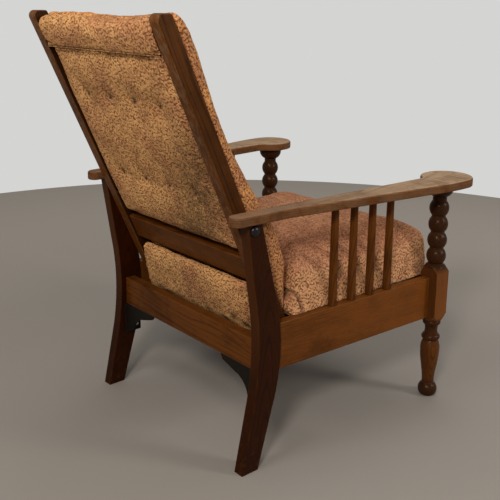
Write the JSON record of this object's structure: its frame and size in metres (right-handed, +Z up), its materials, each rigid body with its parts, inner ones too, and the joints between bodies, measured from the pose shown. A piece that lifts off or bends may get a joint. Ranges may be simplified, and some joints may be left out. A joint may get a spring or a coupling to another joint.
{
  "type": "reclining armchair",
  "caption": "Wooden reclining armchair with turned front legs, sabre rear legs, spindled flat arms, tufted hinged back and a padded sliding seat.",
  "frame": {"origin": "middle of the overall box at floor level", "axes": "+Z up, -Y the way the sitter faces, +X the sitter's left"},
  "size_m": [0.7522, 0.8615, 0.9724],
  "materials": {
    "oak_frame": "worn brown polish",
    "oak_turned": "dark glossy polish on turned work",
    "oak_arms": "pale worn wax",
    "beech_inner": "plain inner timber",
    "fabric_cover": "mottled chenille",
    "inner_cloth": "plain hessian and webbing",
    "black_iron": "worn black enamel",
    "steel_fixings": "dull steel",
    "black_bolts": "black lacquer"
  },
  "bodies": {
    "frame": {"arm_left": "oak_arms", "arm_right": "oak_arms", "arm_spindle_1_left": "oak_turned", "arm_spindle_1_right": "oak_turned", "arm_spindle_2_left": "oak_turned", "arm_spindle_2_right": "oak_turned", "arm_spindle_3_left": "oak_turned", "arm_spindle_3_right": "oak_turned", "arm_spindle_4_left": "oak_turned", "arm_spindle_4_right": "oak_turned", "bracket_screws": "steel_fixings", "corner_bracket_left": "black_iron", "corner_bracket_right": "black_iron", "front_leg_left": "oak_turned", "front_leg_right": "oak_turned", "front_rail": "beech_inner", "pivot_bolt_left": "black_bolts", "pivot_bolt_right": "black_bolts", "pivot_nut_washers": "steel_fixings", "pivot_nuts": "steel_fixings", "rear_leg_left": "oak_frame", "rear_leg_right": "oak_frame", "rear_rail": "oak_frame", "runner_screws": "steel_fixings", "seat_runner_left": "beech_inner", "seat_runner_right": "beech_inner", "side_rail_left": "oak_frame", "side_rail_right": "oak_frame"},
    "back": {"back_bottom_rail": "beech_inner", "back_buttons": "fabric_cover", "back_cross_rail": "oak_frame", "back_cushion": "fabric_cover", "back_hood": "fabric_cover", "back_panel_lower": "fabric_cover", "back_panel_upper": "fabric_cover", "back_stile_left": "oak_frame", "back_stile_right": "oak_frame", "back_top_rail": "beech_inner", "pivot_spacers": "steel_fixings", "slot_pin_washers": "steel_fixings", "slot_pins": "steel_fixings", "tuft_ties": "inner_cloth"},
    "seat": {"plate_screws": "steel_fixings", "seat_cushion": "fabric_cover", "seat_front_border": "fabric_cover", "seat_front_member": "beech_inner", "seat_hessian": "inner_cloth", "seat_rear_member": "beech_inner", "seat_side_member_left": "beech_inner", "seat_side_member_right": "beech_inner", "seat_springs": "steel_fixings", "seat_webbing_cross": "inner_cloth", "seat_webbing_long": "inner_cloth", "slot_plate_left": "black_iron", "slot_plate_right": "black_iron"}
  },
  "joints": [
    {"name": "recline", "type": "hinge", "parent": "frame", "child": "back", "pos_m": [0, 0.22525, 0.544], "axis": [-1, 0, 0], "range_deg": [0, 12]},
    {"name": "seat_slide", "type": "slide", "parent": "frame", "child": "seat", "axis": [0, -1, 0], "range_m": [0, 0.054]}
  ],
  "couplings": [
    {"joint": "seat_slide", "follows": "recline", "m_per_rad": 0.25682}
  ]
}
